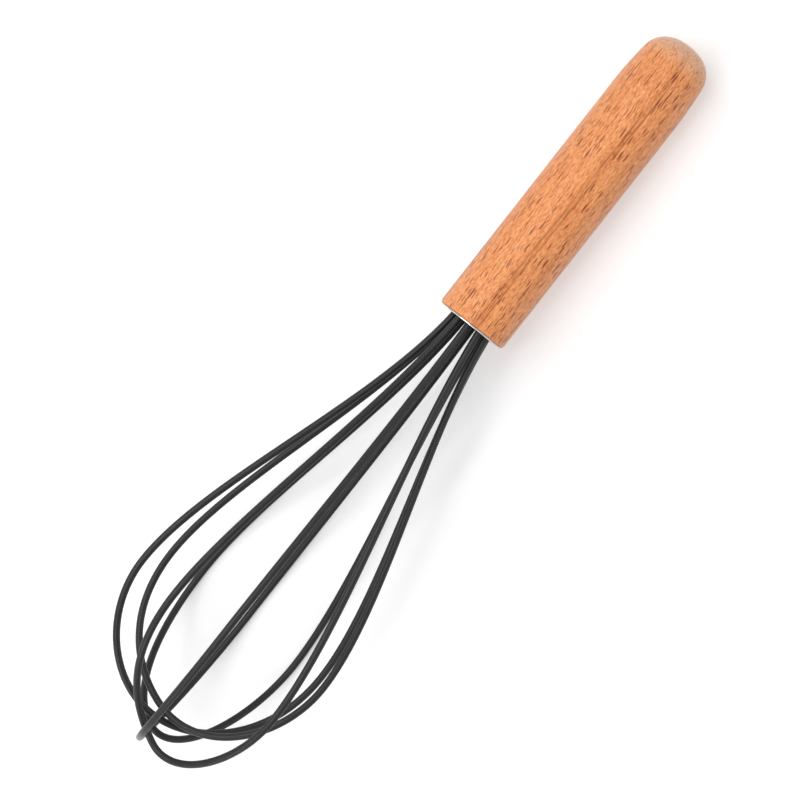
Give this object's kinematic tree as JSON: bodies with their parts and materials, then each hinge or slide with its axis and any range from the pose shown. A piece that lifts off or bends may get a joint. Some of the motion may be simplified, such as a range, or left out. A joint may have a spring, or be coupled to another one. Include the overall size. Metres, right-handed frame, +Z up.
{
  "type": "whisk",
  "caption": "Balloon whisk with a turned wooden handle and crossing wire loops covered in silicone.",
  "frame": {"origin": "bottom centre of the bounding box, on the surface that the whisk lies on", "axes": "+X from the handle's butt to the balloon's tip, level; +Y to the right, seen from above with the balloon pointing towards the viewer; +Z up"},
  "size_m": [0.2816, 0.0722, 0.0671],
  "materials": {
    "beech": "turned and sanded beech, lightly oiled",
    "steel": "bright drawn stainless steel",
    "silicone": "smooth extruded silicone rubber, satin",
    "nylon": "moulded nylon, matt"
  },
  "bodies": {
    "root": {"handle": "beech", "ferrule": "steel", "wire_plug": "nylon", "upright_wire": "steel", "left_high_wire": "steel", "right_high_wire": "steel", "upper_wire": "steel", "lower_wire": "steel", "upright_sleeve": "silicone", "left_high_sleeve": "silicone", "right_high_sleeve": "silicone", "upper_sleeve": "silicone", "lower_sleeve": "silicone"}
  },
  "joints": []
}
